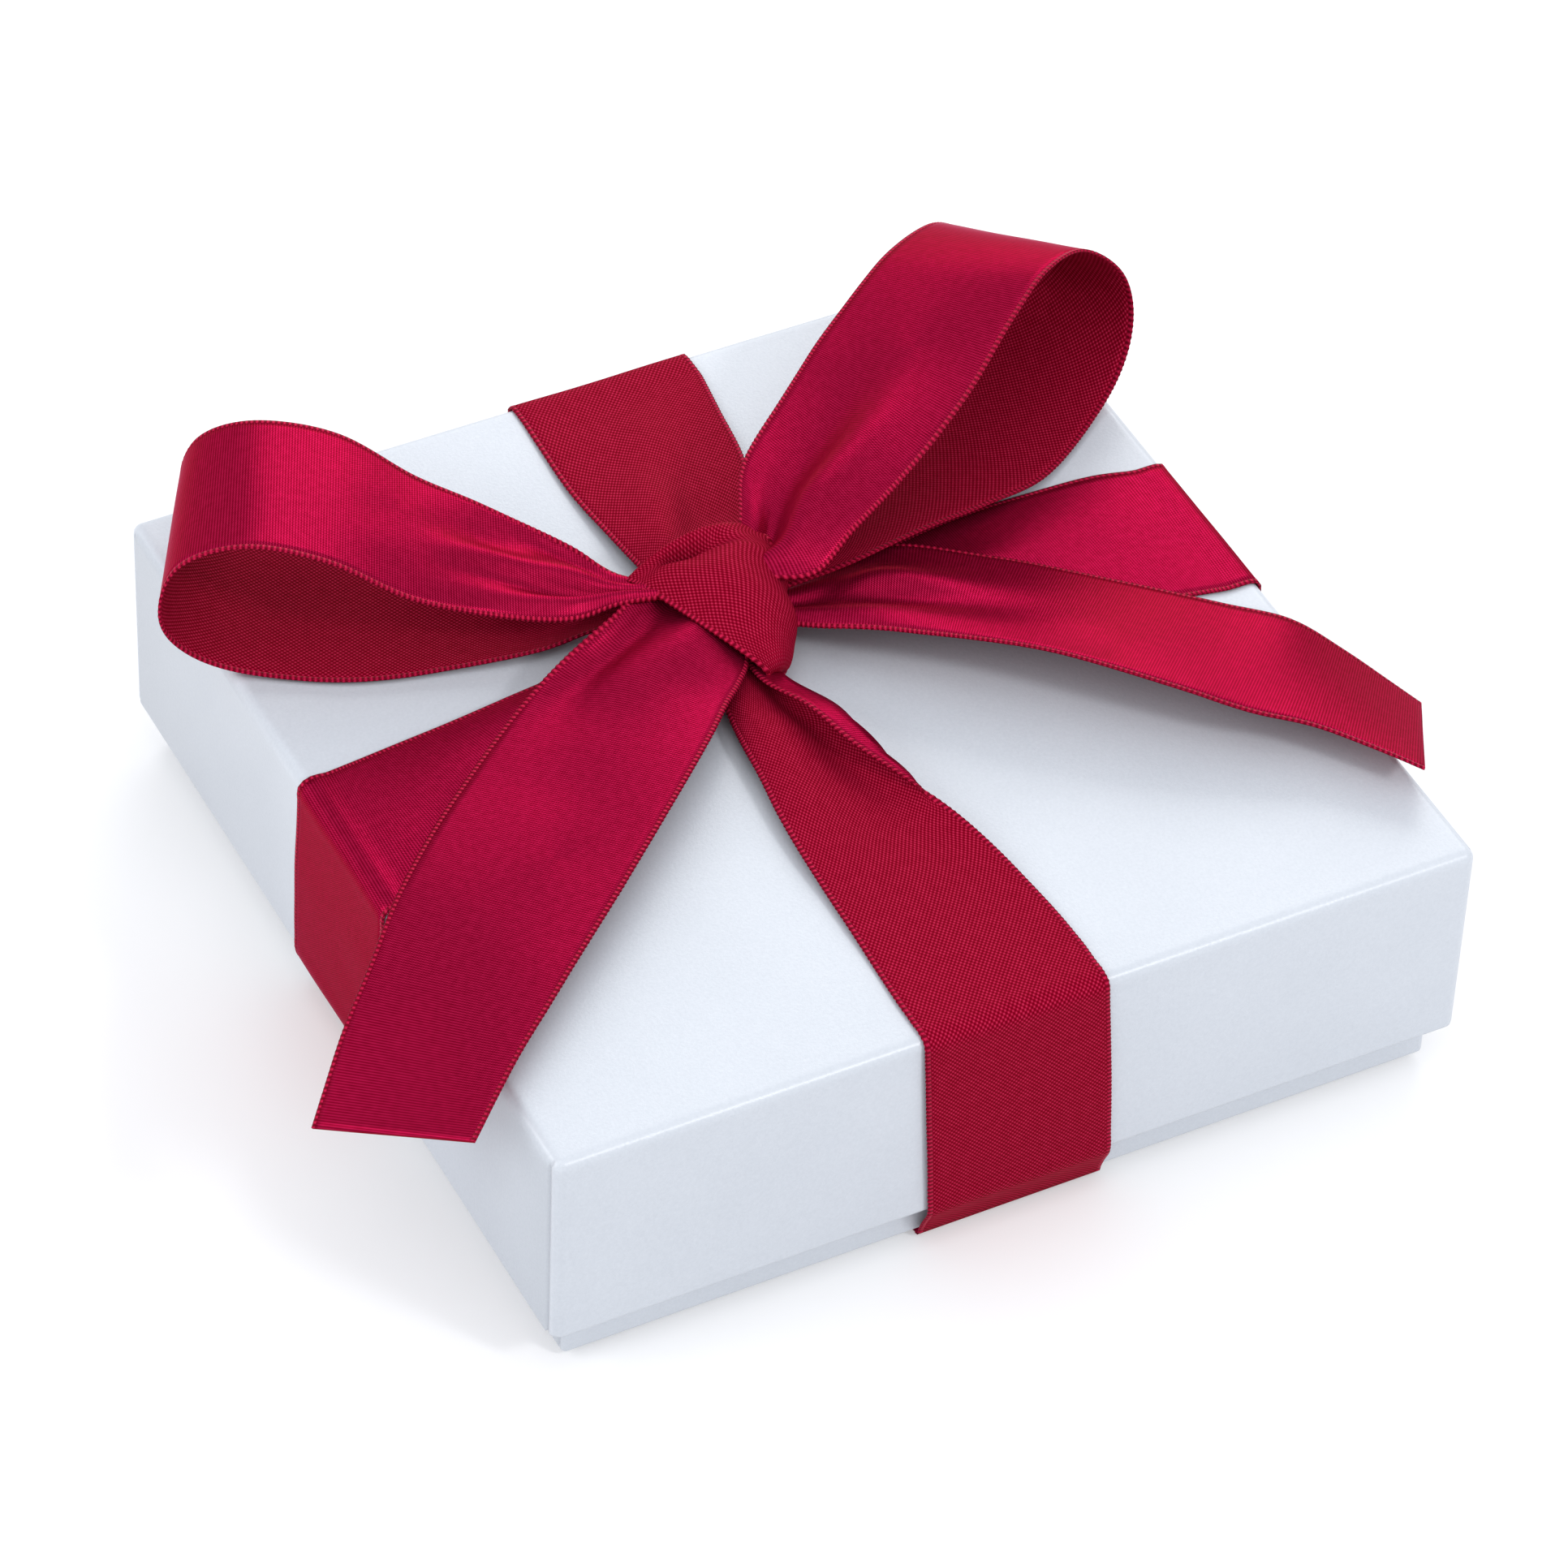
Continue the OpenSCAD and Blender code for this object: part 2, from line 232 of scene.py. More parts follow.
def picot_edge(skin, grid, normal, where, side, thick):
    """The beaded woven edge: a flat cord of small bars along one side of the ribbon."""
    edge, inner = (grid[:, 0], grid[:, 1]) if side == 0 else (grid[:, -1], grid[:, -2])
    out = unit(edge - inner)
    rings = int(where[-1] / PICOT_PITCH) * PICOT_RINGS
    at = np.linspace(0, 1, rings)
    centre = even(edge, where, at)
    out = unit(even(out, where, at))
    up = unit(even(normal[:, 0 if side == 0 else -1], where, at))
    swell = np.array([PICOT_SWELL[i % PICOT_RINGS] for i in range(rings)])[:, None]
    turns = np.arange(PICOT_SIDES) * 2 * math.pi / PICOT_SIDES
    loops = []
    for a in turns:
        loops.append(centre - out * PICOT_INSET + out * (math.cos(a) * PICOT_ACROSS * swell)
                     + up * (math.sin(a) * thick * swell))
    tube = np.stack(loops, 1)
    v = np.linspace(0, 1, PICOT_SIDES + 1)
    coords = np.stack(np.meshgrid(at * where[-1], v, indexing="ij"), -1)
    base = skin.grid(tube, coords, 2, flip=side == 1, closed=True)
    for row, turn in ((0, 1), (rings - 1, -1)):
        ring = [base + row * PICOT_SIDES + k for k in range(PICOT_SIDES)]
        if (turn == 1) != (side == 1):
            ring = ring[::-1]
        skin.face(ring, [(0, 0)] * PICOT_SIDES, 2, True)


def ribbon(name, stations, satin_up, cols=19, spacing=1.0, waves=0.12, seed=0.0, floor=0.28,
           bead=PICOT_THICK):
    """A length of ribbon: a closed strip with a satin face, a dull face and two picot edges."""
    grid, where = surface(stations, cols, spacing)
    grid = ruffle(grid, where, waves, seed)
    if floor is not None:
        grid = keep_above(grid, floor)
    normal = normals(grid)
    half = normal * RIBBON_T / 2
    coords = coords_of(grid, where, RIBBON_W)
    skin = Skin()
    face_up, face_down = (0, 1) if satin_up else (1, 0)
    top = skin.grid(grid + half, coords, face_up)
    low = skin.grid(grid - half, coords, face_down, flip=True)
    rows = len(where)
    for j, turn in ((0, 1), (cols - 1, -1)):
        for i in range(rows - 1):
            quad = [top + i * cols + j, low + i * cols + j,
                    low + (i + 1) * cols + j, top + (i + 1) * cols + j]
            skin.face(quad[::turn], [(0, 0)] * 4, 2, True)
    for i, turn in ((0, -1), (rows - 1, 1)):
        for j in range(cols - 1):
            quad = [top + i * cols + j, low + i * cols + j,
                    low + i * cols + j + 1, top + i * cols + j + 1]
            skin.face(quad[::turn], [(0, 0)] * 4, 1, True)
    picot_edge(skin, grid, normal, where, 0, bead)
    picot_edge(skin, grid, normal, where, 1, bead)
    made = skin.object(name, [SATIN, DULL, SELVAGE])
    made["ribbon_length"] = float(where[-1])
    return made


# ---- materials ----

def material(name):
    """A new material, its nodes and links, and its shader."""
    made = bpy.data.materials.new(name)
    made.use_nodes = True
    nodes = made.node_tree.nodes
    return made, nodes, made.node_tree.links, nodes["Principled BSDF"]


def node(nodes, kind, **values):
    """A new node with the given values in its sockets."""
    made = nodes.new(kind)
    for key, value in values.items():
        made.inputs[key].default_value = value
    return made


def math_node(nodes, links, operation, a, b=0.0):
    made = nodes.new("ShaderNodeMath")
    made.operation = operation
    for socket, value in zip(made.inputs, (a, b)):
        if isinstance(value, (int, float)):
            socket.default_value = value
        else:
            links.new(value, socket)
    return made.outputs[0]


def ramp(nodes, links, value, stops):
    made = nodes.new("ShaderNodeValToRGB")
    elements = made.color_ramp.elements
    while len(elements) < len(stops):
        elements.new(0.5)
    for element, (place, colour) in zip(elements, stops):
        element.position = place
        element.color = (*colour, 1)
    links.new(value, made.inputs["Fac"])
    return made.outputs["Color"]


def weave(nodes, links, along, over, lean=0.0):
    """Rows of dots from 0 to 1, along and over apart in millimetres, leaning sideways by lean."""
    place = nodes.new("ShaderNodeTexCoord")
    split = nodes.new("ShaderNodeSeparateXYZ")
    links.new(place.outputs["UV"], split.inputs[0])
    x, y = split.outputs[0], split.outputs[1]
    if lean:
        x = math_node(nodes, links, "ADD", x, math_node(nodes, links, "MULTIPLY", y, lean))
    turn_x = math_node(nodes, links, "MULTIPLY", x, 2 * math.pi / along)
    turn_y = math_node(nodes, links, "MULTIPLY", y, 2 * math.pi / over)
    wave_x = math_node(nodes, links, "SINE", turn_x)
    wave_y = math_node(nodes, links, "SINE", turn_y)
    both = math_node(nodes, links, "MULTIPLY", wave_x, wave_y)
    half = math_node(nodes, links, "MULTIPLY", both, 0.5)
    return math_node(nodes, links, "ADD", half, 0.5), place


def add_bump(nodes, links, shader, height, strength, distance):
    bump = node(nodes, "ShaderNodeBump", Strength=strength, Distance=distance)
    links.new(height, bump.inputs["Height"])
    links.new(bump.outputs["Normal"], shader.inputs["Normal"])


def mottled(nodes, links, place, scale, output="UV"):
    """A soft uneven value from 0 to 1."""
    cloud = node(nodes, "ShaderNodeTexNoise", Scale=scale, Detail=4.0, Roughness=0.6)
    links.new(place.outputs[output], cloud.inputs["Vector"])
    return cloud.outputs["Fac"]


def satin_face():
    """The shiny side: fine slanting warp floats over a smooth, deep crimson."""
    made, nodes, links, shader = material("crimson_satin")
    dots, place = weave(nodes, links, 0.36, 0.62, lean=0.55)
    cloud = mottled(nodes, links, place, 0.9)
    mix = math_node(nodes, links, "ADD", math_node(nodes, links, "MULTIPLY", dots, 0.7),
                    math_node(nodes, links, "MULTIPLY", cloud, 0.3))
    colour = ramp(nodes, links, mix, [(0.25, (0.12, 0.0006, 0.009)), (0.5, (0.25, 0.0022, 0.025)),
                                      (0.78, (0.44, 0.011, 0.066))])
    links.new(colour, shader.inputs["Base Color"])
    shader.inputs["Metallic"].default_value = 0.7
    shader.inputs["Roughness"].default_value = 0.36
    shader.inputs["Specular IOR Level"].default_value = 0.03
    shader.inputs["Specular Tint"].default_value = (1.0, 0.2, 0.4, 1)
    shader.inputs["Anisotropic"].default_value = 0.5
    add_bump(nodes, links, shader, dots, 0.3, 0.00005)
    return made


def dull_face():
    """The reverse: a plain ribbed weave of bright dots in staggered rows."""
    made, nodes, links, shader = material("crimson_reverse")
    dots, place = weave(nodes, links, 0.7, 0.62)
    cloud = mottled(nodes, links, place, 0.7)
    mix = math_node(nodes, links, "ADD", math_node(nodes, links, "MULTIPLY", dots, 0.75),
                    math_node(nodes, links, "MULTIPLY", cloud, 0.25))
    colour = ramp(nodes, links, mix, [(0.25, (0.14, 0.0005, 0.007)), (0.55, (0.25, 0.0018, 0.019)),
                                      (0.9, (0.48, 0.024, 0.075))])
    links.new(colour, shader.inputs["Base Color"])
    shader.inputs["Metallic"].default_value = 0.3
    shader.inputs["Roughness"].default_value = 0.62
    shader.inputs["Specular IOR Level"].default_value = 0.03
    shader.inputs["Specular Tint"].default_value = (1.0, 0.2, 0.3, 1)
    add_bump(nodes, links, shader, dots, 0.6, 0.00008)
    return made


def selvage_edge():
    """The picot edge: crimson thread, with painted shade darkest in the gaps between its bars and
    fading towards each bar's middle.
    """
    made, nodes, links, shader = material("crimson_selvage")
    place = nodes.new("ShaderNodeTexCoord")
    split = nodes.new("ShaderNodeSeparateXYZ")
    links.new(place.outputs["UV"], split.inputs[0])
    turn = math_node(nodes, links, "MULTIPLY", split.outputs[0], 2 * math.pi / PICOT_PITCH)
    # painted shade: dark where the bars meet at the tube's necks, lighter towards each bar's
    # middle
    bars_and_gap_shade = math_node(nodes, links, "SINE", math_node(nodes, links, "SUBTRACT", turn, math.pi / 2))
    bars_and_gap_shade = math_node(nodes, links, "ADD", math_node(nodes, links, "MULTIPLY", bars_and_gap_shade, 0.5), 0.5)
    colour = ramp(nodes, links, bars_and_gap_shade, [(0.1, (0.13, 0.0008, 0.010)), (0.6, (0.29, 0.003, 0.026)),
                                       (1.0, (0.46, 0.011, 0.055))])
    links.new(colour, shader.inputs["Base Color"])
    shader.inputs["Metallic"].default_value = 0.3
    shader.inputs["Roughness"].default_value = 0.45
    shader.inputs["Specular IOR Level"].default_value = 0.1
    shader.inputs["Specular Tint"].default_value = (1.0, 0.3, 0.4, 1)
    return made


def pearl_paper():
    """Covering paper with a pearly coat, a faint felt texture and a fine sparkling grain."""
    made, nodes, links, shader = material("pearl_paper")
    place = nodes.new("ShaderNodeTexCoord")
    grain = node(nodes, "ShaderNodeTexNoise", Scale=2400.0, Detail=3.0, Roughness=0.7)
    links.new(place.outputs["Object"], grain.inputs["Vector"])
    cloud = mottled(nodes, links, place, 60.0, "Object")
    fine = grain.outputs["Fac"]
    mix = math_node(nodes, links, "ADD", math_node(nodes, links, "MULTIPLY", fine, 0.7),
                    math_node(nodes, links, "MULTIPLY", cloud, 0.3))
    colour = ramp(nodes, links, mix, [(0.3, (0.49, 0.52, 0.57)), (0.5, (0.52, 0.55, 0.60)),
                                      (0.7, (0.55, 0.58, 0.63))])
    links.new(colour, shader.inputs["Base Color"])
    shader.inputs["Roughness"].default_value = 0.33
    shader.inputs["Specular IOR Level"].default_value = 0.6
    add_bump(nodes, links, shader, fine, 0.4, 0.00008)
    return made


def speckled(name, dark, light, scale, rough, bump):
    """A matt fibrous sheet such as grey board, lining paper or paper tape."""
    made, nodes, links, shader = material(name)
    place = nodes.new("ShaderNodeTexCoord")
    fibres = mottled(nodes, links, place, scale, "Object")
    colour = ramp(nodes, links, fibres, [(0.35, dark), (0.65, light)])
    links.new(colour, shader.inputs["Base Color"])
    shader.inputs["Roughness"].default_value = rough
    add_bump(nodes, links, shader, fibres, bump, 0.0001)
    return made


SATIN = satin_face()
DULL = dull_face()
SELVAGE = selvage_edge()
PEARL = pearl_paper()
BOARD = speckled("grey_board", (0.30, 0.28, 0.25), (0.42, 0.40, 0.37), 900, 0.9, 0.5)
LINING = speckled("lining_paper", (0.78, 0.78, 0.76), (0.88, 0.88, 0.87), 1200, 0.8, 0.25)
TAPE = speckled("corner_tape", (0.42, 0.32, 0.19), (0.55, 0.44, 0.28), 700, 0.75, 0.3)


# ---- the ribbon's control points ----

def over_edge(left, right, side_left, side_right, turned, crease):
    """The end of a band: over the lid's top edge, down its side and in under the rim.

    left and right are the two edges at the lid's edge, counted along it, and side_left and
    side_right the same at the rim. turned places a point (along the edge, outwards, height).
    crease is how high the ribbon stands in a soft double crease just before it bends down.
    """
    out, tuck = LID_R + 0.5, BASE_HALF / MM + 0.6
    levels = [(LID_R - 4.5, 0.34, 0), (LID_R - 2.6, 0.32 - crease / 3, 0),
              (LID_R - 1.7, 0.3 + crease, 0), (LID_R - 0.8, 0.24 - crease / 3, 0),
              (LID_R - 0.1, -0.02, 0), (LID_R + 0.34, -0.62, 0),
              (out, -1.5, 0), (out - 0.05, -2.8, 0.05), (out + 0.05, -8, 0.22),
              (out + 0.15, -16, 0.5), (out + 0.1, -23, 0.75), (out, -27.5, 0.9),
              (out, RIM_H + 1, 0.97), (out - 0.2, RIM_H - 0.6, 1), (tuck + 1.2, RIM_H - 2.8, 1.04),
              (tuck + 0.3, FOOT_H + 1.4, 1.08), (tuck, FOOT_H + 0.2, 1.1)]
    stations = []
    for reach, height, t in levels:
        a = left + (side_left - left) * t
        b = right + (side_right - right) * t
        stations.append([turned(a, reach, height), turned(b, reach, height)])
    return stations


FRONT_TOP = [
    [(-9, 6, 2), (-6, 6, 2.4), (-3, 6, 2.4), (-1.5, 6, 2.8), (-2.5, 6, 3.1), (-5, 6, 3.2)],
    [(-11, -4.5, 2), (-8.6, -4, 3), (-5.5, -3.4, 2.4), (-3.4, -3, 1.6), (-1.5, -2.4, 3.6),
     (-5, -1.6, 3.9)],
    [(-11.8, -9.5, 2.2), (-8.6, -9.5, 3.4), (-5.2, -9.6, 3), (-2, -10, 1.4), (1.4, -10.5, 4.2),
     (-2.8, -9.6, 5.6)],
    [(-12.4, -15.5, 2.2), (-8.8, -16, 3.2), (-5, -16.5, 2.6), (-1, -17, 1.2), (2.8, -17.5, 3.9),
     (-0.6, -17, 4.9)],
    [(-13.2, -22, 1.9), (-9, -22.5, 2.7), (-4, -23.5, 1.9), (0.5, -24, 1.2), (4.4, -24.5, 3.3),
     (2.6, -23.8, 3.9)],
    [(-13.7, -29, 1.6), (-9, -29.6, 1.9), (-3, -30.2, 1.2), (2, -30.7, 1.5), (6.2, -31.3, 2.8)],
    [(-13.8, -37, 1), (-6, -38, 1), (2, -38.6, 0.9), (8.8, -39, 1.4)],
    [(-14, -48, 0.5), (-2, -48.5, 0.6), (10.5, -49, 0.5)],
    [(-14.3, -56, 0.4), (11, -56.5, 0.4)]]

BACK_TOP = [
    [(1, 14, 3), (-2, 14, 3.4), (-5, 14, 3)],
    [(3, 22, 2.6), (0, 21.5, 3.8), (-3.5, 21, 3.2), (-7.5, 20, 2.4)],
    [(10, 31, 1.2), (4, 29.5, 1), (0, 28.5, 1.6), (-3.5, 27.5, 3.4), (-8.5, 25.5, 1.8)],
    [(13.6, 40, 0.8), (8, 39, 0.8), (3.5, 37.5, 1.1), (-1.5, 36, 2.8), (-9.2, 33, 1.4)],
    [(15.2, 50, 0.5), (9, 49, 0.6), (3, 47.5, 1.4), (-9.8, 44, 0.7)],
    [(16.2, 57, 0.4), (-9.4, 55, 0.4)]]

LEFT_TOP = [
    lifted((-6, 14, 2.6), (-6, 9, 2.6), 1),
    lifted((-16, 13, 2.2), (-14, 5, 2), 1.6),
    lifted((-33.5, 11.4, 1.6), (-28, -2.5, 1.2), 1.4, 0.4),
    lifted((-44.5, 10.7, 0.8), (-39, -9.5, 0.6), 0.8, 0.4),
    lifted((-54, 10.1, 0.45), (-50, -14, 0.4), 0.3)]

RIGHT_TOP = [
    lifted((2, 9.5, 2.6), (2, 14.5, 2.6), 1),
    lifted((12, 7.5, 1.8), (12, 15, 1.8), 1.2, 0.8),
    lifted((21, 4.5, 1.2), (21, 16.5, 1.4), 1, 1.6, 0.6),
    lifted((35, -1.5, 0.7), (33, 18.3, 1.2), 0.6, 1, 0.4),
    lifted((46, -5.2, 0.4), (43, 18.9, 0.7), 0.4, 0.6),
    lifted((55, -7.3, 0.4), (53, 18.6, 0.5), 0.1, 0.2)]

LEFT_LOOP = [
    lifted((-5, 13.5, 6.2), (-5, 16.5, 6), 0.8),
    lifted((-16, 15.5, 7), (-13.5, 20.8, 6.4), 1.4, -0.4, 1, -0.2, 0.4),
    lifted((-24, 15, 7.6), (-18, 27.5, 8), 1.8, -0.6, 1.7, 0.8, -1.2),
    lifted((-33.5, 18.5, 9.2), (-25.5, 35, 11), 1, 0.4, 1.5, -0.4, -0.3),
    lifted((-43, 21, 13.5), (-33, 41.5, 14), 0.6, 0.8, 0.5),
    lifted((-52, 26.5, 18.5), (-40.5, 49, 18), 0.3, 0.3),
    [(-61, 31.5, 20.5), (-49.5, 54, 19.5)],
    [(-68.5, 35.5, 16.5), (-56, 57, 17)],
    [(-71.5, 35, 10), (-59, 56.5, 12)],
    [(-69, 33.5, 4.5), (-57, 55.5, 5.5)],
    [(-62, 29.5, 1.2), (-50.5, 52, 1.5)],
    [(-50.5, 23, 0.8), (-39.5, 45.5, 1)],
    lifted((-38, 19.5, 1.1), (-28.5, 38, 1.2), -0.2, 0.6),
    lifted((-27, 17, 2), (-19, 30, 2), -0.6, 1, 0.4),
    lifted((-18, 16, 3.4), (-14, 22, 3), -0.6, 0.8),
    lifted((-5, 13, 3.4), (-5, 15.5, 3.2), 0.4)]

RIGHT_LOOP = [
    lifted((0.5, 11.5, 8.6), (0.5, 16, 8.6), 1),
    lifted((7, 8, 9.4), (3.5, 22, 9.6), 1.9, 2.3, -1.4, 0.5),
    lifted((14, 10.5, 12.5), (8, 30, 10.5), 1.4, 2.6, -1.5, -0.5),
    lifted((24, 15, 15), (18, 38.5, 11.5), 0.9, 1.8, -0.9, -0.4),
    lifted((36, 22, 18), (26.5, 45, 13), 0.3, 0.4, -0.1),
    [(46.5, 29.5, 21.5), (35.5, 51, 14.5)],
    [(54, 34.5, 23), (42.5, 55.5, 15)],
    [(61.5, 38, 21.5), (50.5, 59.5, 13.5)],
    [(67.5, 38, 16), (55.5, 61, 10)],
    [(69, 36.5, 10), (57.5, 60, 6.5)],
    [(66.5, 33.5, 4.5), (55, 56.5, 3)],
    [(60, 28.5, 1.5), (49, 51.5, 1.5)],
    [(48, 20.5, 1.3), (37, 43.5, 1.2)],
    lifted((37, 17, 3), (27, 38, 1.5), 0.2, 0.4),
    lifted((25.5, 14.5, 4.5), (16.5, 30.5, 2), 0.6, 0.8),
    lifted((14, 12, 5.2), (9.5, 22, 4), 0.8),
    lifted((0.5, 11.5, 5), (0.5, 15.5, 5), 0.4)]

FRONT_TAIL = [
    lifted((-4, 15, 5.4), (-2.5, 10.5, 5), 0.6),
    lifted((-12, 17, 7.2), (-5, 2.5, 4.4), -1.6, -0.6, 1, 1, 0.5),
    lifted((-18.5, 14.2, 6.8), (-8, -1.5, 4.7), -1.9, -0.2, 1, 0.8, 0.4),
    lifted((-26, 11.4, 5.4), (-11.6, -4.8, 5), -1.5, 0.2, 0.8, 0.5, 0.2),
    lifted((-33, 8, 4), (-16, -9.3, 5.3), -0.6, 0.2, 0.5, 0.3),
    lifted((-40.5, 3, 3), (-22.5, -15.3, 5.5), 0.1, 0.2),
    [(-52, -6.2, 2.6), (-34, -25.3, 5)],
    [(-61.5, -15, 2), (-44.5, -34, 4.3)],
    [(-69, -22.8, -0.3), (-53.5, -41.5, 3.8)],
    [(-76, -29.5, -4), (-62, -48.5, 2.8)],
    [(-83.4, -37.3, -9), (-71, -56.7, 1.5)]]

RIGHT_TAIL = [
    lifted((-1, 8, 4.6), (-1, 12, 4.4), 0.6),
    lifted((4.5, 3.5, 5.2), (10, 12.5, 4), 1, -0.4, 0.8),
    lifted((11, -3.5, 8), (21, 15.5, 3.2), 0.8, -1, 1.2, -0.4),
    lifted((19.3, -10.9, 9.5), (33.5, 8, 2.5), 0.3, -0.5, 0.3, 0),
    [(26.3, -16.9, 10), (41.5, 1.5, 2.2)],
    [(33.5, -23.9, 9.5), (49.5, -5.5, 2)],
    [(40, -30, 8.5), (56.5, -11.5, 1.6)],
    [(46.5, -35.8, 7), (63, -17, 1)],
    [(54, -41.5, 6), (68, -22.8, -1.5)],
    [(62, -52, 5), (74, -32.5, -5)]]


def pleats(x, y, low, high, count, width):
    """A gathered cross-section, folded up and down like a fan."""
    return [(x + width * k / (2 * count), y, high if k % 2 else low) for k in range(2 * count + 1)]


KNOT_WRAP = [
    pleats(-5.5, 9, 1, 3.6, 3, 8),
    [(-9, 16.5, 2), (-7, 17.6, 4), (-5, 17.8, 2), (-2, 18.4, 3.8), (0, 18.6, 2), (2.5, 18.4, 4),
     (4, 18, 2)],
    [(-12, 19.8, 4.4), (-8.5, 21, 5.8), (-3, 22.2, 6.8), (1.8, 22.2, 6.4), (4.9, 21.2, 5.2)],
    [(-13.8, 19.8, 6.5), (-10, 19.9, 9.2), (-6, 20.4, 10.3), (-1.5, 20.4, 10.9), (2.2, 20, 10.1),
     (5.2, 19.2, 7.7)],
    [(-13, 18.6, 6.8), (-9.6, 18.8, 8.2), (-6.6, 18.6, 6.7), (-3.2, 18.2, 8.6), (0.4, 17.6, 11.2),
     (5.4, 16.8, 8.3)],
    [(-12.3, 16.8, 7), (-9, 17, 9.3), (-5.6, 16.8, 9.6), (-2.2, 16.2, 10.8), (1.4, 15.2, 11),
     (5.2, 13.8, 7.9), (4.4, 13.6, 5)],
    [(-10.9, 12.6, 7.3), (-7.5, 12.8, 10.1), (-3.2, 12.6, 11.4), (1.4, 12.2, 10.4), (4.5, 11, 7.2),
     (4, 11, 4.6), (2, 11, 3.4)],
    [(-8.6, 7, 7), (-5.5, 7, 9.4), (-2, 7, 10.2), (1.3, 6.5, 9), (3.4, 6, 6), (3, 6.2, 3.8),
     (0, 6.4, 2.8), (-3, 6.6, 3.4)],
    [(-5.8, 1.8, 5.8), (-4, 1.6, 7.1), (-1.9, 1.5, 7.4), (0, 1.5, 6.3), (1.1, 1.8, 4.3),
     (0.4, 2.2, 2.8), (-1.8, 2.2, 2.4), (-4, 2.4, 3)],
    [(-4, -0.8, 4), (-3.1, -1, 4.7), (-2.2, -1, 4.8), (-1.4, -0.7, 4.2), (-0.8, -0.3, 3.2),
     (-1.6, 0.1, 2.4), (-3, 0.1, 2.2), (-3.9, 0.3, 2.6)],
    pleats(-4.6, 1.5, 0.8, 2.6, 3, 4.6),
    pleats(-5.5, 7, 0.6, 3, 3, 7)]


def side_point(name):
    """How a band's end is placed on each side: (along the edge, outwards, height)."""
    return {
        "front": lambda a, out, h: (a, -out, h),
        "back": lambda a, out, h: (a, out, h),
        "left": lambda a, out, h: (-out, a, h),
        "right": lambda a, out, h: (out, a, h)}[name]


def band(name, top, left, right, side_left, side_right, satin_up, seed, crease=0.0):
    """One of the four bands, from the knot to the underside, which folds at the lid's edge."""
    stations = top + over_edge(left, right, side_left, side_right, side_point(name), crease)
    made = ribbon(f"ribbon_{name}_band", stations, satin_up, seed=seed)
    place = side_point(name)
    middle = (left + right) / 2
    start = row_point(place(middle, LID_R - 1.4, 0.4))
    end = row_point(place(middle, LID_R + 0.5, -1.6))
    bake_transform(made)
    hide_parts(f"top_band_{name}", f"side_band_{name}")
    return declared(made)


def row_point(p):
    """A control point in the row frame, in metres."""
    return (p[0] * MM, p[1] * MM, p[2] * MM + LID_TOP)


def declared(made):
    """Hands a piece back as it is."""
    return made


def joint_place(name):
    """Where a joint is, and which way its axis points."""
    joint = next(j for j in frame["joints"] if j["name"] == name)
    return Vector(joint["pos_m"]), Vector(joint["axis"]).normalized()


def limb(name, stations, satin_up, away, nodes, seed):
    """A loop or tail; away is the way out from the knot."""
    made = ribbon(f"ribbon_{name}", stations, satin_up, seed=seed)
    place, axis = joint_place(f"{name}_lift")
    out = Vector(away)
    out = (out - axis * out.dot(axis)).normalized()
    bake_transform(made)
    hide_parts(*nodes)
    return declared(made)


def make_knot():
    """The gathered wrap over the bow, which stands for both plain knots."""
    wrap = ribbon("ribbon_knot_wrap", KNOT_WRAP, False, cols=43, spacing=0.5, waves=0.2, seed=5.5,
                  floor=None)
    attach(wrap, "lid")
    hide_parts("bow_knot", "half_knot")
    return declared(wrap)


# ---- box ----

def outline(half, corner, proud, steps=5):
    """Points round a square with rounded corners, whose left and right panels stand proud.

    The paper of those two panels is folded down last, over the tabs of the other two, and
    is cut off just short of each corner.
    """
    flat = half - corner
    points = []
    for quarter in range(4):
        turn = quarter * math.pi / 2
        c, s = math.cos(turn), math.sin(turn)
        out = proud if quarter % 2 == 0 else 0
        marks = [(flat, 0), (flat - 0.05, -1.1 * out), (flat - 0.45, -1.1 * out),
                 (flat - 0.5, out)]
        side = [(-y, rise) for y, rise in marks] + [(0, out)] + marks[::-1]
        for y, rise in side:
            points.append(((half + rise) * c - y * s, (half + rise) * s + y * c))
        for k in range(1, steps):
            a = k / steps * math.pi / 2
            x, y = flat + corner * math.cos(a), flat + corner * math.sin(a)
            points.append((x * c - y * s, x * s + y * c))
    return points


def arc_levels(half, depth, radius):
    """Levels over the rounded edge of a tray, from its closed face round to its side."""
    levels = []
    for a in np.linspace(0, math.pi / 2, 9):
        corner = max(radius * math.sin(a), 0.08)
        out = half - radius + radius * math.sin(a)
        levels.append((out, corner, depth + radius - radius * math.cos(a)))
    return levels


def wrap_levels(half, deep, soft):
    """The covering paper's whole section: outside, rim, turned-in strip and back.

    soft is the rounding of the outside, and deep the tray's height.
    """
    inside = half - 2 * PAPER_T - BOARD_T
    inner_r = EDGE_R - PAPER_T
    outside = [(half - soft - 0.4, 0.08, 0)] + arc_levels(half, 0, soft)
    outside += [(half, soft, soft + 0.5), (half, soft, deep - 0.5),
                (half - 0.04, soft, deep - 0.1), (half - 0.14, soft, deep)]
    rim = [(inside + 0.14, 0.2, deep), (inside + 0.02, 0.2, deep - 0.12),
           (inside, 0.2, deep - 0.5), (inside, 0.2, deep - TURN_IN),
           (inside + PAPER_T, 0.2, deep - TURN_IN), (inside + PAPER_T, 0.2, deep - PAPER_T)]
    back = [(half - PAPER_T, inner_r, deep - PAPER_T)]
    back += arc_levels(half - PAPER_T, PAPER_T, inner_r)[::-1]
    return outside, rim + back


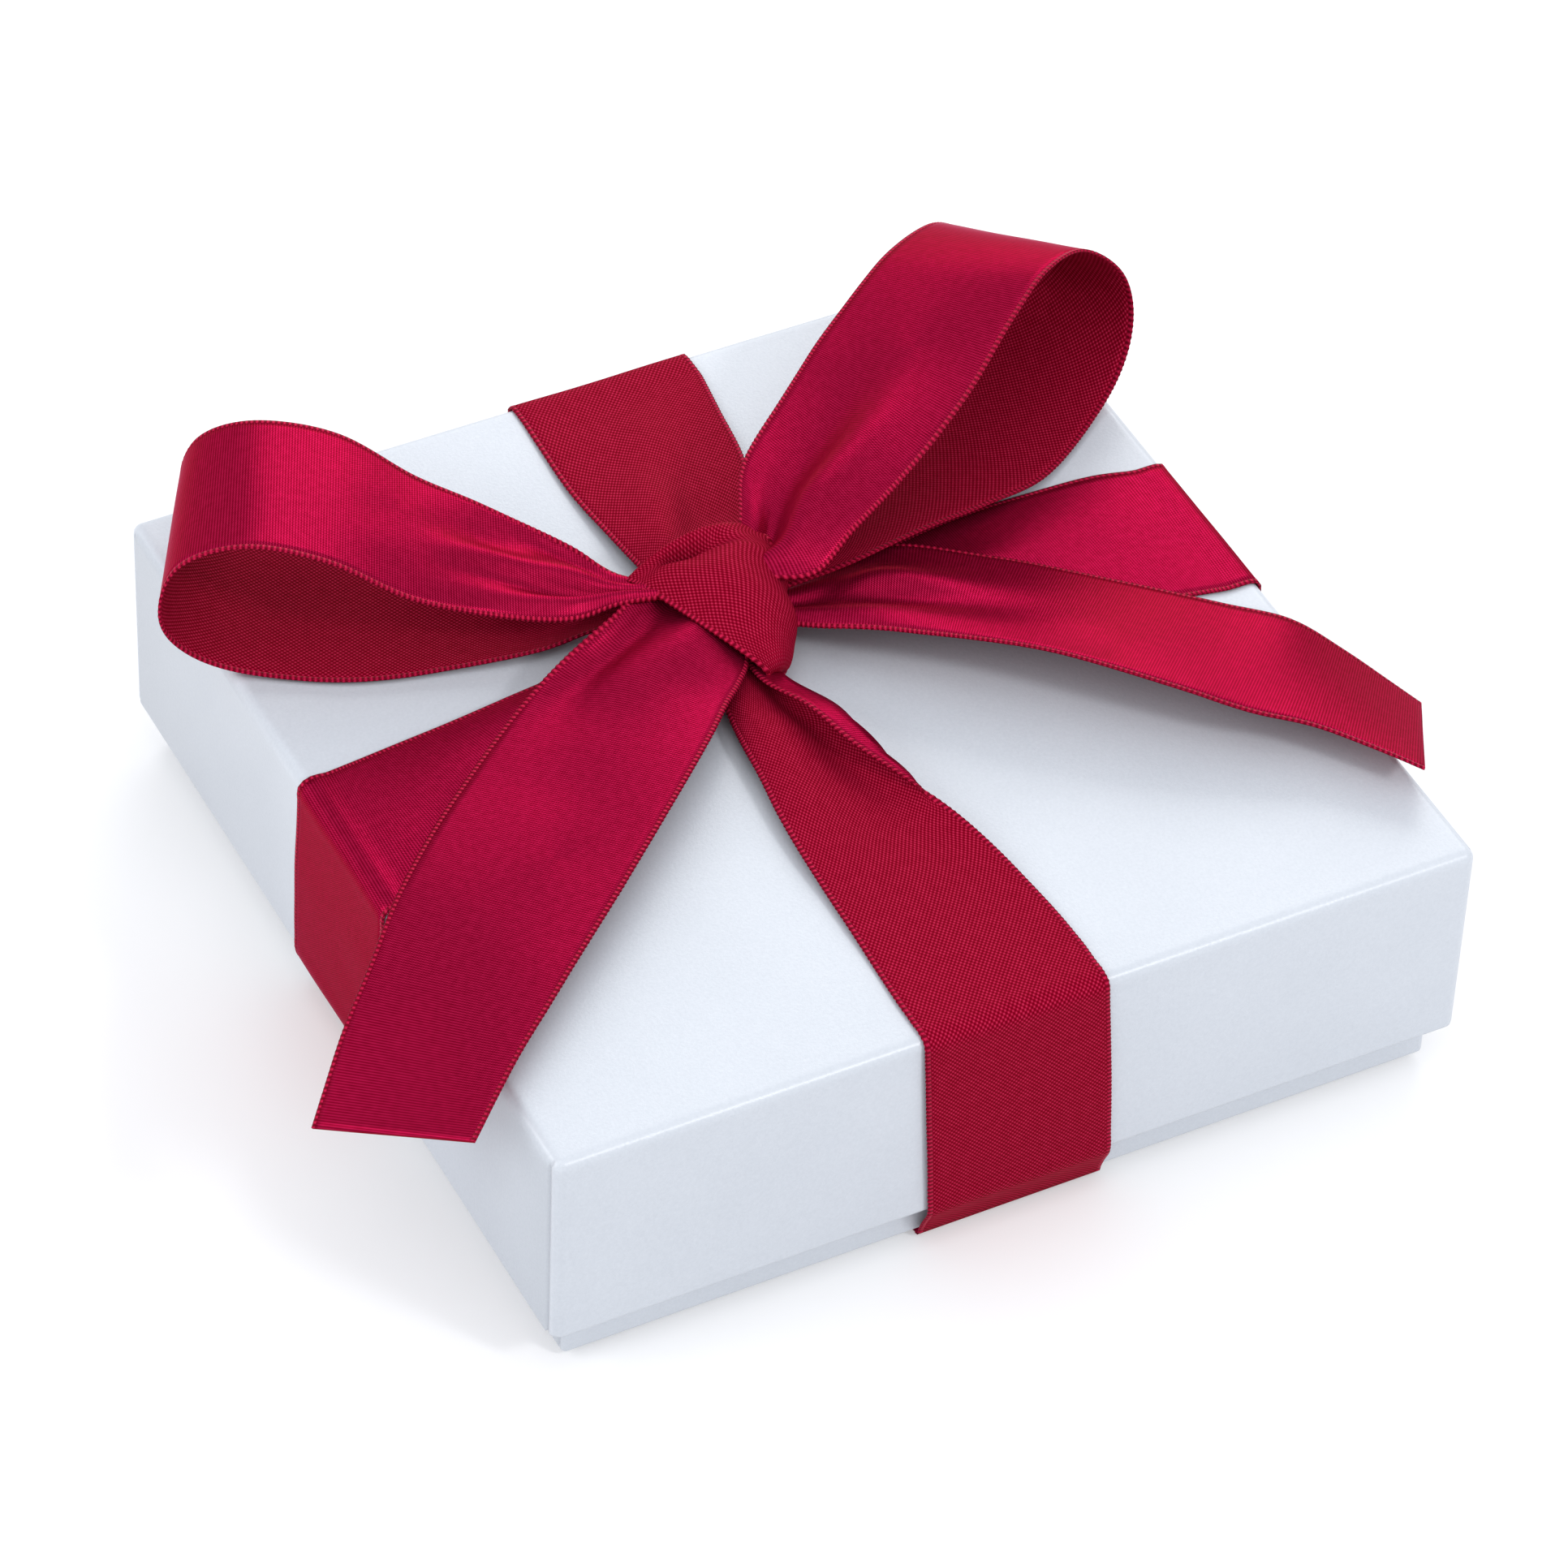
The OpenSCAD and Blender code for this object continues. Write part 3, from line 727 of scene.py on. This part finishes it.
def paper_wrap(name, half, deep, soft, place, turned, body, node_name):
    """One tray's covering paper. place gives the height of a depth from the closed face."""
    outside, rest = wrap_levels(half, deep, soft)
    rings = []
    for k, (out, corner, depth) in enumerate(outside + rest):
        share = min(max((depth - 0.3) / 1.2, 0), 1) if k < len(outside) else 0
        rings.append([(x, y, place(depth)) for x, y in outline(out, corner, SEAM_STEP * share)])
    grid = np.array(rings)
    rows, cols = grid.shape[:2]
    coords = np.zeros((rows, cols + 1, 2))
    skin = Skin()
    base = skin.grid(grid, coords, 0, flip=turned, closed=True)
    first = [base + k for k in range(cols)]
    last = [base + (rows - 1) * cols + k for k in range(cols)]
    skin.face(first if not turned else first[::-1], [(0, 0)] * cols, 0, True)
    skin.face(last[::-1] if not turned else last, [(0, 0)] * cols, 0, True)
    made = skin.object(name, [PEARL])
    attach(made, body)
    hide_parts(node_name)
    return made


def bottom_band(name, stations, satin_up, node_name, seed):
    """A length of ribbon under the base, curling up at both ends to meet the side bands."""
    made = ribbon(name, stations, satin_up, seed=seed, waves=0.0, floor=None, bead=0.17)
    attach(made, "base")
    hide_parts(node_name)
    return declared(made)


def both_ways(end, middle_height):
    """A run from one end to the other, from the levels of its far half."""
    return [(-x, h) for x, h in end] + [(0, middle_height)] + end[::-1]


def under_base():
    """The two lengths under the base; the second hops over the first where they cross."""
    tip = BASE_HALF / MM
    stand = -LID_TOP / MM
    half = RIBBON_W / 2
    end = [(tip + 0.15, 0.34), (tip - 0.4, 0.22), (tip - 1.2, 0.2), (tip - 3, 0.2),
           (tip - 7, 0.2), (tip - 15, 0.2), (30, 0.2)]
    hop = [(21, 0.2), (18.8, 0.22), (17, 0.42), (15.5, 0.58), (12, 0.59)]
    middle, slope = 1.38, 0.0447
    run = [[(x, middle + slope * x - half, stand + h), (x, middle + slope * x + half, stand + h)]
           for x, h in both_ways(end, 0.2)]
    bottom_band("ribbon_bottom_x", run, False, "bottom_band_x", 2.9)
    middle, slope = 2.54, 0.0319
    run = [[(middle + slope * y + half, y, stand + h), (middle + slope * y - half, y, stand + h)]
           for y, h in both_ways(end + hop, 0.59)]
    bottom_band("ribbon_bottom_y", run, True, "bottom_band_y", 3.3)


def add_details():
    """The boards, lining sheets and corner tape, which are carried over from the frame."""
    for name, look in (("lid_board", BOARD), ("base_board", BOARD), ("lid_liner", LINING),
                       ("base_liner", LINING), ("lid_corner_stays", TAPE),
                       ("base_corner_stays", TAPE)):
        mesh = frame["nodes"][name].data
        mesh.materials.clear()
        mesh.materials.append(look)


# ---- stage ----

def add_floor():
    """A pale floor, which glows a little so that the shadows stay light."""
    made = bpy.data.meshes.new("floor")
    r = FLOOR_HALF
    made.from_pydata([(-r, -r, 0), (r, -r, 0), (r, r, 0), (-r, r, 0)], [], [(0, 1, 2, 3)])
    look, _, _, shader = material("pale_floor")
    shader.inputs["Base Color"].default_value = (0.64, 0.64, 0.65, 1)
    shader.inputs["Roughness"].default_value = 0.9
    shader.inputs["Emission Color"].default_value = (1, 1, 1, 1)
    shader.inputs["Emission Strength"].default_value = 0.25
    made.materials.append(look)
    floor = bpy.data.objects.new("floor", made)
    bpy.context.scene.collection.objects.link(floor)


def add_light(name, place, size, power):
    """A round soft lamp that points at the box."""
    data = bpy.data.lights.new(name, "AREA")
    data.shape = "DISK"
    data.size = size
    data.energy = power
    lamp = bpy.data.objects.new(name, data)
    lamp.location = place
    lamp.rotation_mode = "QUATERNION"
    lamp.rotation_quaternion = (Vector(AIM) - Vector(place)).to_track_quat("-Z", "Y")
    bpy.context.scene.collection.objects.link(lamp)


def add_lights():
    """An even pale world, and four lamps: behind, overhead, in front and on the left."""
    world = bpy.data.worlds.new("studio")
    world.use_nodes = True
    world.node_tree.nodes["Background"].inputs["Color"].default_value = (0.95, 0.97, 1, 1)
    world.node_tree.nodes["Background"].inputs["Strength"].default_value = 0.98
    bpy.context.scene.world = world
    add_light("back", (0.5, 0.72, 0.5), 0.62, 3.0)
    add_light("above", (-0.12, -0.3, 0.95), 0.8, 1.5)
    add_light("front", (0.32, -0.68, 0.66), 0.15, 2.5)
    add_light("left", (-0.85, 0.1, 0.45), 0.6, 2.8)
    bpy.context.scene.view_settings.view_transform = "Standard"


def add_camera():
    """A long lens from the front left, above the box, with the slight roll of a hand-held shot."""
    data = bpy.data.cameras.new("camera")
    data.sensor_width = 36
    data.lens = 169.1
    data.clip_start = 0.05
    camera = bpy.data.objects.new("camera", data)
    place = Vector((-330.3, -600.7, 632.5)) * MM + Vector((0, 0, LID_TOP))
    forward = Vector((0.34937, 0.63604, -0.68804)).normalized()
    level = forward.to_track_quat("-Z", "Y")
    roll = Matrix.Rotation(math.radians(-2.63), 4, forward)
    camera.matrix_world = Matrix.Translation(place) @ roll @ level.to_matrix().to_4x4()
    bpy.context.scene.collection.objects.link(camera)
    bpy.context.scene.camera = camera


# ---- assembly ----

add_camera()
add_details()
band("front", FRONT_TOP, -14.3, 11, -12.4, 13.2, False, 1.3, crease=0.12)
band("back", BACK_TOP, 16.4, -9.2, 17.2, -8.4, False, 2.1)
band("left", LEFT_TOP, 9.6, -15.8, 11.2, -14.2, True, 3.7, crease=0.26)
band("right", RIGHT_TOP, -8.1, 17.4, -8.6, 16.9, True, 4.4)
limb("left_loop", LEFT_LOOP, False, (-1, 0.6, 0), ["left_loop"], 6.1)
limb("right_loop", RIGHT_LOOP, True, (1, 0.4, 0), ["right_loop"], 7.2)
limb("front_tail", FRONT_TAIL, True, (-1, -1, 0), ["front_tail_root", "front_tail_end"], 8.8)
limb("right_tail", RIGHT_TAIL, True, (1, -1, 0), ["right_tail_root", "right_tail_end"], 9.4)
make_knot()
paper_wrap("paper_lid", LID_R, LID_DEPTH, LID_SOFT, lambda d: -d, False, "lid", "lid_wrap")
paper_wrap("paper_base", BASE_HALF / MM, BASE_DEPTH, BASE_SOFT, lambda d: FOOT_H + d, True,
           "base", "base_wrap")
under_base()
add_floor()
add_lights()
